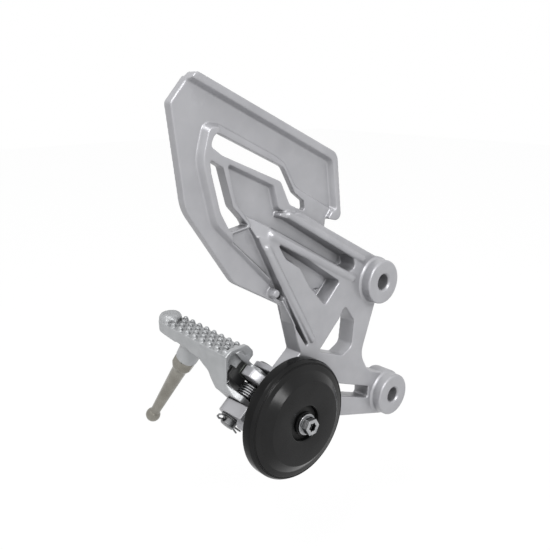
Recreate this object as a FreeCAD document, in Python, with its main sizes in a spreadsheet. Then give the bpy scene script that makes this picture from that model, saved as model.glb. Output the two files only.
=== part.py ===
import FreeCAD, Part
import math
import os

# Left-hand footrest bracket of a motorcycle, seen from the frame side along +Y.
# X points forward, Y outboard, Z up. The origin is the centre of the upper mounting
# boss's face, where the bracket meets the frame.

SIZES = {
    # mounting bosses
    "boss_radius": 15.0,
    "boss_bore": 10.5,
    "bore_chamfer": 1.25,
    "boss_edge": 1.4,
    "boss_foot": 1.2,
    "lower_boss_x": 16.0,
    "lower_boss_z": -87.5,
    # plate levels, measured outboard from the boss faces
    "truss_front": 8.0,
    "truss_back": 21.0,
    "pocket_floor": 17.0,
    "slope_floor": 18.3,
    "pocket_step": 1.2,
    "slope_half_width": 41.0,
    "rim_top": 9.5,
    "tray_floor": 13.5,
    "land_level": 12.5,
    "guard_back": 17.0,
    "edge_back": 19.5,
    "edge_wall": 3.0,
    "wall_draft": 2.2,
    "rib_height": 1.0,
    # vibration weight on the bracket
    "damper_x": -80.4,
    "damper_z": -73.4,
    "damper_radius": 39.3,
    "damper_rim": 9.3,
    "damper_rim_front": -3.0,
    "damper_step": 33.0,
    "damper_face_radius": 27.5,
    "damper_face": -8.5,
    "damper_web": 5.5,
    "damper_eye": 11.3,
    "damper_seat": 4.0,
    "damper_boss_radius": 13.0,
    "bush_recess": 3.3,
    "bush_collar": 3.0,
    "sleeve_wall": 1.3,
    "sleeve_gap": 0.2,
    "washer_thickness": 1.5,
    "washer_radius": 7.6,
    "bolt_diameter": 6.0,
    "bolt_flange": 6.8,
    "bolt_flange_thickness": 1.5,
    "bolt_hexagon": 9.6,
    "bolt_head": 5.0,
    "bolt_socket": 2.6,
    "bolt_socket_depth": 3.0,
    "bolt_grip": 12.0,
    # hinge
    "hinge_x": -106.4,
    "hinge_y": 31.0,
    "hinge_z": -74.3,
    "hinge_tilt": 40.0,
    "ear_radius": 10.0,
    "lower_ear": 7.5,
    "ear_foot": 1.5,
    "upper_ear": 4.0,
    "upper_ear_radius": 8.6,
    "ear_gap": 0.4,
    "peg_lower_ear": 4.2,
    "peg_upper_ear": 3.2,
    "peg_ear_radius": 8.8,
    "pin_diameter": 10.0,
    "pin_clearance": 0.05,
    "pin_tail": 7.4,
    "pin_head_radius": 6.4,
    "pin_head": 1.5,
    "pin_washer_thickness": 1.0,
    "split_pin_wire": 1.2,
    "split_pin_leg": 11.8,
    "split_pin_eye": 2.1,
    "split_pin_place": 2.6,
    "split_pin_gap": 0.12,
    "lug_start": 23.2,
    "lug_length": 6.6,
    "lug_low": 5.5,
    "lug_high": 16.2,
    "lug_end": 32.2,
    "stop_sheet": 1.0,
    "stop_gap": 0.1,
    "spring_wire": 1.8,
    "spring_radius": 7.0,
    "spring_turns": 5.0,
    # peg
    "deck_x": -109.0,
    "deck_width": 18.7,
    "deck_z": -34.3,
    "deck_tilt": 2.5,
    "deck_depth": 9.0,
    "peg_wall": 3.0,
    "peg_reach": 115.0,
    "deck_rise": 3.4,
    "tip_lip": 5.2,
    "tip_taper": 1.9,
    "crest_height": 3.0,
    "crest_thickness": 3.2,
    "stud_pitch": 8.05,
    "stud_row": 4.35,
    "stud_radius": 2.5,
    "stud_height": 3.0,
    "stud_rows": 4,
    "first_stud": 4.0,
    "scoop_radius": 18.2,
    "dish_radius": 11.0,
    "dish_depth": 3.0,
    "scoop_wall": 2.5,
    "feeler_x": -98.3,
    "feeler_y": 81.2,
    "feeler_z": -41.0,
    "feeler_lean": 33.0,
    "feeler_splay": 15.0,
    "feeler_boss_radius": 7.8,
    "feeler_boss_length": 15.5,
    "feeler_hexagon": 14.0,
    "feeler_collar": 9.5,
    "feeler_top_radius": 5.4,
    "feeler_tip_radius": 3.3,
    "feeler_length": 78.0,
    "feeler_ball": 5.3,
    "feeler_thread": 4.0,
    "feeler_thread_length": 12.0,
}

doc = FreeCAD.newDocument("footrest_bracket")
sheet = doc.addObject("Spreadsheet::Sheet", "Sizes")
for row, (alias, value) in enumerate(SIZES.items(), 1):
    sheet.set(f"A{row}", str(value))
    sheet.setAlias(f"A{row}", alias)
doc.recompute()


def size(alias):
    return float(sheet.get(alias))


V = FreeCAD.Vector
ALONG_Y = V(0, 1, 0)

upper_boss = (0.0, 0.0)
lower_boss = (size("lower_boss_x"), size("lower_boss_z"))
damper = (size("damper_x"), size("damper_z"))
hinge = V(size("hinge_x"), size("hinge_y"), size("hinge_z"))
tilt = math.radians(size("hinge_tilt"))
hinge_along = V(math.cos(tilt), 0, math.sin(tilt))
hinge_up = V(-math.sin(tilt), 0, math.cos(tilt))


# Outlines. A point is (x, z, corner radius), set out from the feature that it belongs to.

def place(anchor, points):
    return [(anchor[0] + x, anchor[1] + z, r) for x, z, r in points]


def turn_side(points):
    area = 0.0
    for (x1, z1, _), (x2, z2, _) in zip(points, points[1:] + points[:1]):
        area += x1 * z2 - x2 * z1
    return 1.0 if area > 0 else -1.0


def inset(points, distance):
    """Moves every side inwards, so that a wall gets its draft."""
    side = turn_side(points)
    count = len(points)
    moved = []
    for i in range(count):
        x0, z0, _ = points[i - 1]
        x1, z1, r = points[i]
        x2, z2, _ = points[(i + 1) % count]
        before = V(x1 - x0, z1 - z0, 0).normalize()
        after = V(x2 - x1, z2 - z1, 0).normalize()
        normal_before = V(-before.y, before.x, 0) * side
        normal_after = V(-after.y, after.x, 0) * side
        bisector = normal_before + normal_after
        step = 2 * distance / bisector.dot(bisector)
        convex = side * (before.x * after.y - before.y * after.x) > 0
        radius = r - distance if convex else r + distance
        moved.append((x1 + bisector.x * step, z1 + bisector.y * step, max(radius, 0.3)))
    return moved


def outline(points, to_space):
    """A closed wire with an arc at every corner that has a radius."""
    count = len(points)
    starts, ends, middles = [], [], []
    for i in range(count):
        corner = V(points[i][0], points[i][1], 0)
        before = V(points[i - 1][0], points[i - 1][1], 0) - corner
        after = V(points[(i + 1) % count][0], points[(i + 1) % count][1], 0) - corner
        half = before.getAngle(after) / 2
        radius = points[i][2]
        reach = radius / math.tan(half)
        limit = 0.4999 * min(before.Length, after.Length)
        if reach > limit:
            reach = limit
            radius = reach * math.tan(half)
        toward = (V(before).normalize() + V(after).normalize()).normalize()
        starts.append(corner + V(before).normalize() * reach)
        ends.append(corner + V(after).normalize() * reach)
        middles.append(corner + toward * (radius / math.sin(half) - radius))
    edges = []
    for i in range(count):
        if (starts[i] - ends[i]).Length > 1e-6:
            arc = Part.Arc(to_space(starts[i]), to_space(middles[i]), to_space(ends[i]))
            edges.append(arc.toShape())
        following = starts[(i + 1) % count]
        edges.append(Part.makeLine(to_space(ends[i]), to_space(following)))
    return Part.Wire(edges)


def on_level(y):
    return lambda point: V(point.x, y, point.y)


def across_hinge(a):
    """The plane square to the hinge axis: x runs outboard from the axis, y runs up."""
    return lambda point: hinge + hinge_along * a + V(0, point.x, 0) + hinge_up * point.y


def prism(points, front, back):
    face = Part.Face(outline(points, on_level(front)))
    return face.extrude(V(0, back - front, 0))


def drafted(points, front, back, draft):
    """A prism whose walls lean inwards towards the back by the draft."""
    wires = [outline(points, on_level(front)), outline(inset(points, draft), on_level(back))]
    return Part.makeLoft(wires, True, True)


def hinge_prism(points, start, end):
    face = Part.Face(outline(points, across_hinge(start)))
    return face.extrude(hinge_along * (end - start))


def rod(radius, start, end, axis_point=hinge, direction=hinge_along):
    return Part.makeCylinder(radius, end - start, axis_point + direction * start, direction)


def post(x, z, radius, front, back):
    return Part.makeCylinder(radius, back - front, V(x, front, z), ALONG_Y)


def edges_at_level(shape, y, radius, x, z):
    """The round edges of one radius about an axis along Y, at one level."""
    found = []
    for edge in shape.Edges:
        curve = edge.Curve
        if curve.TypeId != "Part::GeomCircle" or abs(curve.Radius - radius) > 1e-4:
            continue
        centre = curve.Center
        if abs(centre.y - y) < 1e-4 and abs(centre.x - x) < 1e-3 and abs(centre.z - z) < 1e-3:
            found.append(edge)
    return found


# The guard. Its outline is walked from the rear top corner towards the front.

GUARD_OUTLINE = [
    (-142.3, 136.0, 3.0), (-38.3, 87.9, 8.0), (-33.3, 44.7, 4.5), (-45.0, 47.8, 0.6),
    (-46.2, 36.0, 1.0), (-78.0, -3.5, 0.6), (-117.0, 18.9, 16.0), (-149.2, 65.0, 24.0),
    (-156.2, 120.6, 2.5),
]
# The tray is open on its rear and lower sides, so its outline runs past the guard there.
TRAY = [
    (-152.0, 137.0, 1.0), (-41.3, 84.6, 7.0), (-37.2, 52.8, 3.0), (-41.3, 51.0, 1.5),
    (-66.0, 64.4, 8.0), (-72.5, 68.5, 6.0), (-81.6, 83.2, 5.0), (-88.0, 87.3, 9.0),
    (-128.0, 106.6, 4.0), (-134.6, 107.6, 5.0), (-139.4, 91.0, 20.0), (-131.0, 56.5, 12.0),
    (-89.0, 14.5, 3.0), (-84.0, 4.0, 1.0), (-80.0, -12.0, 1.0), (-120.0, 8.0, 1.0),
    (-175.0, 70.0, 1.0), (-165.0, 135.0, 1.0),
]
# The land is the strip round the upper window and in front of it, one step above the tray.
LAND = [
    (-129.0, 110.0, 2.0), (-88.0, 95.0, 3.0), (-60.0, 76.0, 3.0), (-40.5, 53.0, 1.0),
    (-44.6, 48.6, 1.0), (-43.0, 40.0, 1.0), (-60.0, 44.0, 1.0), (-72.0, 52.0, 1.0),
    (-75.0, 62.0, 2.0), (-82.0, 75.0, 3.0), (-90.0, 81.0, 3.0), (-128.0, 99.0, 2.0),
]
UPPER_WINDOW = [
    (-130.9, 105.9, 4.5), (-80.4, 82.4, 5.0), (-71.2, 66.2, 6.0), (-63.6, 60.6, 1.2),
    (-63.2, 54.8, 1.2), (-78.0, 60.4, 5.0), (-85.2, 75.0, 4.0), (-126.9, 92.6, 1.5),
    (-134.6, 98.0, 2.5),
]
LOWER_WINDOW = [
    (-135.2, 91.2, 1.0), (-126.7, 86.2, 1.2), (-120.4, 64.0, 7.0), (-109.4, 52.4, 0.8),
    (-122.4, 50.4, 3.0), (-129.0, 62.0, 12.0), (-134.6, 84.0, 4.0),
]
# The island between the windows has a rim above and in front of its floor.
ISLAND_FLOOR = [
    (-124.6, 89.3, 1.4), (-90.0, 73.4, 3.0), (-86.2, 59.8, 3.5), (-78.0, 55.6, 0.8),
    (-76.0, 40.0, 1.0), (-90.0, 20.0, 1.0), (-88.5, 12.8, 1.0), (-104.0, 27.6, 3.0),
    (-121.0, 43.4, 3.0), (-121.8, 50.0, 0.8), (-108.0, 52.0, 0.6), (-119.0, 66.0, 4.0),
]

# The truss, from the rear of the rail round by the bosses and the lower lobe.
RAIL_AND_FRONT = [(-87.0, 56.9, 0.8), (-70.0, 55.4, 14.0), (-48.1, 42.9, 6.0), (7.8, 12.6, 1.0)]
WAIST = [(3.6, -10.0, 1.0), (-11.8, -51.2, 14.0), (-3.5, -65.2, 8.0)]
FOOT = [(0.0, 14.3, 1.0), (6.0, 0.0, 1.0), (-5.1, -15.6, 1.0)]
LOBE = [(18.0, -8.6, 10.0), (-3.0, -16.8, 12.0), (-33.0, -3.0, 10.0), (-29.6, 5.0, 3.0),
        (-1.8, 24.4, 3.0), (-1.8, 29.4, 3.0), (10.4, 39.0, 1.0)]
LEFT_EDGE = [(-78.2, -3.8, 1.0), (-84.5, 7.0, 2.0), (-103.4, 44.6, 0.6), (-112.0, 59.2, 0.6),
             (-90.8, 47.6, 0.6)]

RAIL_POCKET = [
    (-116.0, 66.5, 0.6), (-80.2, 53.4, 8.0), (-47.8, 34.9, 4.0), (-22.4, 20.4, 4.0),
    (-19.4, 11.8, 4.0), (-27.6, 10.6, 4.0), (-91.4, 46.9, 0.6), (-116.0, 61.0, 0.6),
]
TRIANGLE = [
    (-88.8, 38.9, 2.0), (-85.4, 39.6, 1.8), (-34.4, 5.9, 1.8), (-48.2, -8.0, 2.4),
    (-62.2, 7.4, 5.0), (-70.7, 20.9, 5.0), (-82.3, 28.4, 4.0),
]
TRUSS_HOLE = [
    (-29.4, -11.6, 2.6), (-19.6, -24.6, 4.0), (-21.6, -42.6, 5.5), (-30.4, -46.8, 4.0),
    (-53.2, -38.0, 1.6), (-34.4, -19.8, 4.0),
]
SLOT = [(-18.6, 9.7, 1.2), (-18.9, 1.0, 1.6), (-64.0, 17.0, 3.0), (-64.0, 26.6, 2.0)]
GROOVE = [(-105.8, 45.8, 0.6), (-103.8, 45.2, 0.6), (-62.6, -30.4, 0.7), (-64.6, -31.4, 0.7),
          (-73.6, -17.4, 8.0), (-80.6, -6.2, 6.0), (-89.8, 9.6, 6.0)]
NOSE = [(-114.0, 62.0, 0.6), (-90.6, 48.6, 0.6), (-95.4, 41.2, 0.6), (-106.0, 46.0, 0.6)]
NOSE_LINE = ((-111.6, 58.2), (-92.6, 44.6))
# Round beads on the edges of the three struts: start, end and radius.
BEADS = [
    ((-93.0, 44.3), (-22.6, 5.6), 2.9),
    ((-97.0, 37.4), (-59.6, -27.6), 2.6),
    ((-80.0, 55.0), (-13.2, 16.4), 2.4),
]


def sloped_cut(points, line, shallow, deep, draft):
    """A pocket whose floor slopes along a line; the line is given in x and z."""
    from_point, to_point = line
    top = size("truss_front") - size("damper_seat")
    tool = drafted(points, top, size("truss_back") - 1.0, draft)
    run = V(to_point[0] - from_point[0], 0, to_point[1] - from_point[1])
    along = V(run).normalize()
    across = along.cross(ALONG_Y)
    half_width = size("slope_half_width")
    start = V(from_point[0], 0, from_point[1]) - across * half_width
    reach = half_width + run.Length

    def corner(distance, level):
        return start + along * distance + V(0, level, 0)

    wire = Part.makePolygon([
        corner(-reach, top - 1), corner(reach, top - 1), corner(reach, deep),
        corner(run.Length, deep), corner(0, shallow), corner(-reach, shallow),
        corner(-reach, top - 1)])
    wedge = Part.Face(wire).extrude(across * 2 * half_width)
    return tool.common(wedge)


def guard():
    rim_top, floor, back = size("rim_top"), size("tray_floor"), size("guard_back")
    draft, rib = size("wall_draft"), size("rib_height")
    plate = prism(GUARD_OUTLINE, rim_top, back)
    tray = drafted(TRAY, rim_top - 1, floor, draft * (floor - rim_top + 1) / (floor - rim_top))
    land = drafted(LAND, rim_top - 1, size("land_level"), 0.6)
    island = drafted(ISLAND_FLOOR, rim_top - 1, floor, draft)
    plate = plate.cut([tray, land, island])
    # The rear and lower edges turn outboard to form a lip behind the heel.
    lip_outer = prism(GUARD_OUTLINE, floor, size("edge_back"))
    lip_inner = prism(inset(GUARD_OUTLINE, size("edge_wall")), floor - 1, size("edge_back") + 1)
    keep = prism([(-160, 142, 1), (-146, 137, 1), (-100, 30, 1), (-60, -10, 1), (-160, -10, 1)],
                 floor, size("edge_back"))
    lip = lip_outer.cut(lip_inner).common(keep)
    return plate.fuse(lip)


def truss():
    front, back = size("truss_front"), size("truss_back")
    points = (RAIL_AND_FRONT + WAIST + place(lower_boss, FOOT) + place(damper, LOBE) + LEFT_EDGE)
    block = prism(points, front, back)
    block = block.fuse([bead(*line) for line in BEADS])
    return block.cut(sloped_cut(NOSE, NOSE_LINE, size("tray_floor") - 0.3, front, 0.0))


def bead(start, end, radius):
    level = size("truss_front") + radius - size("rib_height")
    first = V(start[0], level, start[1])
    last = V(end[0], level, end[1])
    run = last - first
    bar = Part.makeCylinder(radius, run.Length, first, run)
    return bar.fuse([Part.makeSphere(radius, first), Part.makeSphere(radius, last)])


def mounting_boss(x, z):
    radius, foot = size("boss_radius"), size("boss_foot")
    boss = post(x, z, radius, 0, size("truss_back"))
    boss = boss.makeFillet(size("boss_edge"), edges_at_level(boss, 0, radius, x, z))
    front = size("truss_front")
    skirt = Part.makeCone(radius, radius + foot, foot, V(x, front - foot, z), ALONG_Y)
    return boss.fuse([skirt, post(x, z, radius + foot, front, size("truss_back"))])


def bore(x, z):
    radius, chamfer = size("boss_bore") / 2, size("bore_chamfer")
    back = size("truss_back")
    front_cone = Part.makeCone(radius + chamfer, radius, chamfer, V(x, 0, z), ALONG_Y)
    back_cone = Part.makeCone(radius, radius + chamfer, chamfer, V(x, back - chamfer, z), ALONG_Y)
    return post(x, z, radius, -1, back + 1).fuse([front_cone, back_cone])


# The hinge, from the lower end of its axis upwards: bracket ear, peg ear, spring, lug,
# peg ear, bracket ear, pin head.
gap = size("ear_gap")
lower_ear_end = size("lower_ear")
peg_lower_start = lower_ear_end + gap
peg_lower_end = peg_lower_start + size("peg_lower_ear")
lug_end = size("lug_start") + size("lug_length")
peg_upper_start = lug_end + gap
peg_upper_end = peg_upper_start + size("peg_upper_ear")
upper_ear_start = peg_upper_end + gap
upper_ear_end = upper_ear_start + size("upper_ear")
plate_back = size("truss_back") - hinge.y
plate_middle = (size("truss_front") + size("truss_back")) / 2 - hinge.y


# How high the lower ear reaches above the axis, and the circle that its corner sweeps.
ear_height = 17.6
ear_sweep = math.hypot(size("peg_wall"), ear_height)


def ear_profile(radius):
    """An ear that grows from the plate and is round about the hinge pin."""
    return [(plate_middle, -radius, 1.0), (radius, -radius, radius), (radius, radius, radius),
            (plate_middle, radius, 1.0)]


def hinge_ears():
    lower = hinge_prism(ear_profile(size("ear_radius")), -size("ear_foot"), lower_ear_end)
    upper = hinge_prism(ear_profile(size("upper_ear_radius")), upper_ear_start, upper_ear_end)
    return [lower, upper]


def lug():
    low, high = size("lug_low"), size("lug_high")
    end = size("lug_end") - hinge.y
    # Below the pin's side the lug stays inboard of the pin, so that the pin runs free.
    inner = -size("pin_diameter") / 2 - 2
    profile = [(plate_middle, -4.0, 1.0), (inner, -4.0, 1.5), (inner + 1.5, low, 1.5),
               (end, low, 1.0), (end, high, 1.2), (plate_back + 3.0, high, 2.0),
               (plate_middle, low, 1.0)]
    return hinge_prism(profile, size("lug_start"), lug_end)


def deep_end(points, level, middle, radius, along):
    """The deeper end of a pocket, past a round step about the middle."""
    tool = drafted(points, size("truss_front") - 1, level + size("pocket_step"),
                   size("wall_draft") * 0.8)
    reach = size("slope_half_width")
    ahead = V(along[0], 0, along[1]).normalize() * reach
    aside = ahead.cross(ALONG_Y)
    start = V(middle[0], 0, middle[1])
    corners = [start + aside, start + aside + ahead, start - aside + ahead, start - aside]
    beyond = prism([(corner.x, corner.z, 0.1) for corner in corners], 0, size("truss_back"))
    return tool.common(beyond).cut(post(*middle, radius, 0, size("truss_back")))


def footrest_bracket():
    x, z = damper
    seat = post(x, z, size("damper_boss_radius"), size("damper_seat"), size("truss_back"))
    body = guard().fuse([truss(), mounting_boss(*upper_boss), mounting_boss(*lower_boss), seat,
                         lug()] + hinge_ears())
    tap = post(x, z, size("bolt_diameter") / 2, size("damper_seat") - 1, size("truss_back") - 2.5)
    pin_hole = rod(size("pin_diameter") / 2 + size("pin_clearance"), -size("ear_foot") - 1,
                   upper_ear_end + 1)
    draft = size("wall_draft")
    front = size("truss_front") - 1
    windows = [prism(UPPER_WINDOW, 0, 30), prism(LOWER_WINDOW, 0, 30)]
    rail = sloped_cut(RAIL_POCKET, ((-88, 52), (-30, 16)), size("tray_floor"),
                      size("slope_floor"), draft * 1.2)
    triangle = drafted(TRIANGLE, front, size("pocket_floor"), draft * 0.8)
    groove = sloped_cut(GROOVE, ((-96, 34), (-66, -24)), size("land_level"),
                        size("slope_floor"), 0.8)
    clearance = rod(ear_sweep + 2 * gap, lower_ear_end, size("lug_start") - 2.0)
    rail_end = deep_end(RAIL_POCKET, size("slope_floor"), (-30.3, 18.8), 4.2, (0.85, -0.53))
    triangle_end = deep_end(TRIANGLE, size("pocket_floor"), (-45.6, 6.9), 5.7, (0.8, -0.6))
    hole = prism(TRUSS_HOLE, 0, 30)
    slot = prism(place(lower_boss, SLOT), 7, 30)
    cuts = windows + [rail, triangle, groove, rail_end, triangle_end, hole, slot, tap,
                      pin_hole, clearance,
                      bore(*upper_boss), bore(*lower_boss)]
    pad = Part.makeCone(2.3, 3.2, 6.0, V(-89.6, size("truss_front"), 8.6), ALONG_Y)
    return body.cut(cuts).fuse(pad).removeSplitter()



# The folding peg. Its root is set out square to the hinge axis, its deck along Y.

def in_hinge_plane(points, front, back):
    """A prism along Y over an outline given as (along the axis, up from the axis)."""
    def to_space(point):
        return hinge + hinge_along * point.x + hinge_up * point.y + V(0, front - hinge.y, 0)
    face = Part.Face(outline(points, to_space))
    return face.extrude(V(0, back - front, 0))


def deck_turn(shape):
    """Tilts the tread about its front lower edge, so that its rear edge stands higher."""
    turned = shape.copy()
    turned.rotate(V(size("deck_x"), 0, size("deck_z")), ALONG_Y, -size("deck_tilt"))
    return turned


def deck():
    """The tread's bar, with a round raised pad at its tip and a crest at its hinge end."""
    left, width = size("deck_x"), size("deck_width")
    right = left + width
    wall = hinge.y + size("peg_wall")
    top, reach, depth = size("deck_z"), size("peg_reach"), size("deck_depth")
    tip_top = top + size("deck_rise")
    profile = [
        (wall, top, 0.4), (reach - 8.0, tip_top, 3.0), (reach, tip_top, 2.0),
        (reach, tip_top + 3.2 - depth, 5.0), (reach - 12, tip_top + 0.8 - depth, 6.0),
        (64.0, top - 9.8, 16.0), (49.6, top - 16.4, 8.0), (43.8, top - 26.0, 2.0),
        (wall, top - 14.0, 1.0),
    ]
    side = Part.Face(outline(profile, lambda point: V(left, point.x, point.y)))
    bar = side.extrude(V(width, 0, 0))
    below = top - width * 4
    narrow = right - size("tip_taper")
    tip_radius = (narrow - left) / 2
    plan = [(left, wall - 1, 0.5), (left, reach, tip_radius), (narrow, reach, tip_radius),
            (right, wall - 1, 0.5)]
    over = Part.Face(outline(plan, lambda point: V(point.x, point.y, below)))
    bar = bar.common(over.extrude(V(0, 0, width * 6)))
    pad_base = V(left + tip_radius, reach - tip_radius, tip_top - 3.0)
    pad = Part.makeCylinder(tip_radius - 0.4, size("tip_lip") + 3.0, pad_base)
    rim = [edge for edge in pad.Edges if abs(edge.BoundBox.ZMin - pad.BoundBox.ZMax) < 1e-4]
    pad = pad.makeFillet(size("tip_lip") * 0.7, rim)
    return deck_turn(bar.fuse([pad, crest(wall)]))


def crest(wall):
    """The end wall stands a little above the studs' floor and is rounded at its corners."""
    width, rise = size("deck_width"), size("crest_height")
    behind = width + 3.6
    points = [(0.4, -2.0, 1.0), (0.9, 0.6, 2.0), (5.0, rise, 6.0), (behind - 4.6, rise, 4.0),
              (behind, -2.4, 4.0), (behind, -10.6, 2.0), (width / 2, -12.0, 1.0)]
    placed = place((size("deck_x"), size("deck_z")), points)
    return prism(placed, wall, wall + size("crest_thickness"))


def stud(x, y, z):
    """A blunt bullet: a drafted post with a rounded top."""
    base, height, foot = size("stud_radius"), size("stud_height"), 1.0
    top = base * 0.72
    post_part = Part.makeCone(base, top, height + foot - top * 0.9, V(x, y, z - foot))
    return post_part.fuse(Part.makeSphere(top, V(x, y, z + height - top * 0.9)))


def studs():
    """Staggered rows of studs, from the end wall to the pad at the tip."""
    width, pitch, reach = size("deck_width"), size("stud_pitch"), size("peg_reach")
    start, end = hinge.y + size("peg_wall"), reach - width * 0.6
    rise = size("deck_rise") / (reach - 8.0 - start)
    first_x = size("deck_x") + (width - 3 * size("stud_row")) / 2 - 0.3
    made = []
    for row in range(int(size("stud_rows"))):
        x = first_x + row * size("stud_row")
        y = start + size("first_stud") + (row % 2) / 2 * pitch
        while y < end:
            made.append(deck_turn(stud(x, y, size("deck_z") + (y - start) * rise)))
            y += pitch
    return made


def peg_ear(start, end, front_points):
    """One ear: the outer side is shared, the inboard side is given from below upwards."""
    wall, radius = size("peg_wall"), size("peg_ear_radius")
    outer = [(wall, 31.0, 0.4), (31.4, 31.0, 0.4), (31.4, 24.5, 4.0), (20.7, 21.0, 6.0),
             (12.6, 11.0, 8.0), (radius, 0.0, 3.0), (radius * 0.5, -radius, 3.0)]
    return hinge_prism(outer + front_points, start, end)


def peg_root(outer_form):
    """Adds the hinge end to the deck: a wall round the lug, and an ear at each end of it."""
    wall, radius, top = size("peg_wall"), size("peg_ear_radius"), 31.0
    region = [
        (peg_lower_start, -12.0, 0.2), (peg_upper_end, -12.0, 0.2), (peg_upper_end, 10.0, 3.0),
        (39.0, 16.5, 3.0), (38.2, 22.6, 2.0), (22.6, top + 0.2, 1.5), (peg_lower_start, 13.6, 2.0),
    ]
    silhouette = in_hinge_plane(region, hinge.y - 12, hinge.y + 60)
    scoop = size("scoop_radius")
    outer = scoop + size("scoop_wall")
    # The outer side grows from the lower ear's outline to a wall that clears the lug's swing.
    narrow = [
        (wall, top, 0.4), (31.4, top, 0.4), (31.4, 24.5, 4.0), (20.7, 21.0, 5.0),
        (12.6, 11.0, 6.0), (radius, -7.0, 1.5), (wall + 1, -7.0, 0.5), (wall, 0.0, 0.5),
    ]
    full = [
        (wall, top, 0.4), (31.4, top, 0.4), (31.4, 24.5, 4.0), (22.5, 20.0, 5.0),
        (outer, 8.0, 6.0), (outer, -7.0, 1.5), (wall + 1, -7.0, 0.5), (wall, 0.0, 0.5),
    ]
    grown = size("lug_start") - 2.0
    sweep = Part.makeLoft([outline(narrow, across_hinge(peg_lower_start)),
                           outline(full, across_hinge(grown))], True, True)
    between = sweep.fuse(hinge_prism(full, grown, peg_upper_end + 6)).common(silhouette)
    hollow = rod(scoop, grown - 1, peg_upper_start)
    run_in = Part.makeCone(radius + 1.6, scoop, grown - 1 - peg_lower_end,
                           hinge + hinge_along * peg_lower_end, hinge_along)
    below_ear = rod(scoop, -10, peg_lower_start)
    past = rod(scoop - 3.6, peg_upper_end, peg_upper_end + 12)
    dish, dish_depth = size("dish_radius"), size("dish_depth")
    dish_middle = hinge + hinge_along * 27.0 + hinge_up * 22.0
    bowl = Part.makeSphere(dish, dish_middle + V(0, wall + dish_depth - dish, 0))
    # A deep corner between the left wall and the bowl.
    corner = in_hinge_plane([(12.8, 17.6, 1.0), (18.4, 23.9, 1.5), (23.6, 23.4, 1.5),
                             (25.0, 10.0, 1.0), (13.6, 10.0, 1.0)], hinge.y - 12, wall + hinge.y + 9)
    body = outer_form.fuse(between).cut([hollow, run_in, past, below_ear, bowl, corner])
    # The lower ear is broad; the upper one has a heel that meets the plate when the peg is down.
    broad = [(-radius * 0.5, -radius, 4.0), (-radius, -2.0, 4.0), (-radius, 10.6, 4.0),
             (wall, ear_height, 1.0)]
    heel = plate_back + size("stop_gap")
    heeled = [(heel, -radius, 1.0), (heel, -3.0, 1.0), (-radius * 0.8, 2.0, 3.0),
              (-radius * 0.4, 8.0, 3.0), (wall, 10.0, 3.0)]
    ears = [peg_ear(peg_lower_start, peg_lower_end, broad).common(silhouette),
            peg_ear(peg_upper_start, peg_upper_end, heeled).common(silhouette)]
    return body.fuse(ears)


lean, splay = math.radians(size("feeler_lean")), math.radians(size("feeler_splay"))
feeler_axis = V(-math.sin(lean) * math.sin(splay), math.sin(lean) * math.cos(splay),
                -math.cos(lean))
feeler_base = V(size("feeler_x"), size("feeler_y"), size("feeler_z"))


def feeler_boss():
    radius, length = size("feeler_boss_radius"), size("feeler_boss_length")
    start = feeler_base - feeler_axis * 4
    return Part.makeCone(radius + 1.2, radius, length + 4, start, feeler_axis)


def footpeg():
    body = peg_root(deck()).fuse([feeler_boss()] + studs()).removeSplitter()
    pin_hole = rod(size("pin_diameter") / 2 + size("pin_clearance"), -1, upper_ear_end + 1)
    thread_start = size("feeler_boss_length") - size("feeler_thread_length") - 0.5
    thread = Part.makeCylinder(size("feeler_thread"), size("feeler_thread_length") + 1,
                               feeler_base + feeler_axis * thread_start, feeler_axis)
    return body.cut([pin_hole, thread])



# Objects of the document

def add_shape(name, shape):
    feature = doc.addObject("Part::Feature", name)
    feature.Label = name
    feature.Shape = shape
    return feature


def bound(kind, name, **expressions):
    """A primitive or boolean whose sizes follow the sheet."""
    item = doc.addObject(kind, name)
    for prop, expression in expressions.items():
        item.setExpression(prop, expression)
    return item


def stand(item, base, direction):
    """Places a piece that is made about its own Z axis."""
    item.Placement = FreeCAD.Placement(base, FreeCAD.Rotation(V(0, 0, 1), direction))
    return item


def combine(kind, name, base, tool):
    item = doc.addObject(kind, name)
    item.Base = base
    item.Tool = tool
    item.Label = name
    return item


def turned_body(name, profile):
    """A body turned about its own Z axis; the profile is (radius, height) all round."""
    body = doc.addObject("PartDesign::Body", name)
    body.Label = name
    plane = [f for f in body.Origin.OriginFeatures if f.Role == "XZ_Plane"][0]
    sketch = body.newObject("Sketcher::SketchObject", name + "_profile")
    sketch.AttachmentSupport = [(plane, "")]
    sketch.MapMode = "FlatFace"
    for (r1, h1), (r2, h2) in zip(profile, profile[1:] + profile[:1]):
        sketch.addGeometry(Part.LineSegment(V(r1, h1, 0), V(r2, h2, 0)), False)
    turn = body.newObject("PartDesign::Revolution", name + "_turn")
    turn.Profile = sketch
    turn.ReferenceAxis = (sketch, ["V_Axis"])
    turn.Angle = 360.0
    body.Tip = turn
    return body


def washer(name, outer, inner, thickness):
    disc = bound("Part::Cylinder", name + "_disc", Radius=outer, Height=thickness)
    eye = bound("Part::Cylinder", name + "_eye", Radius=inner, Height=thickness)
    return combine("Part::Cut", name, disc, eye)


# The vibration weight, set out from the damper boss towards the frame side.
TO_FRAME = V(0, -1, 0)
seat_y = size("damper_seat")
web_back = size("damper_face") + size("damper_web")
sleeve_outer = size("bolt_diameter") / 2 + size("sleeve_gap") + size("sleeve_wall")
washer_back = size("damper_face") + 2.0
bolt_seat = washer_back - size("washer_thickness")


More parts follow.
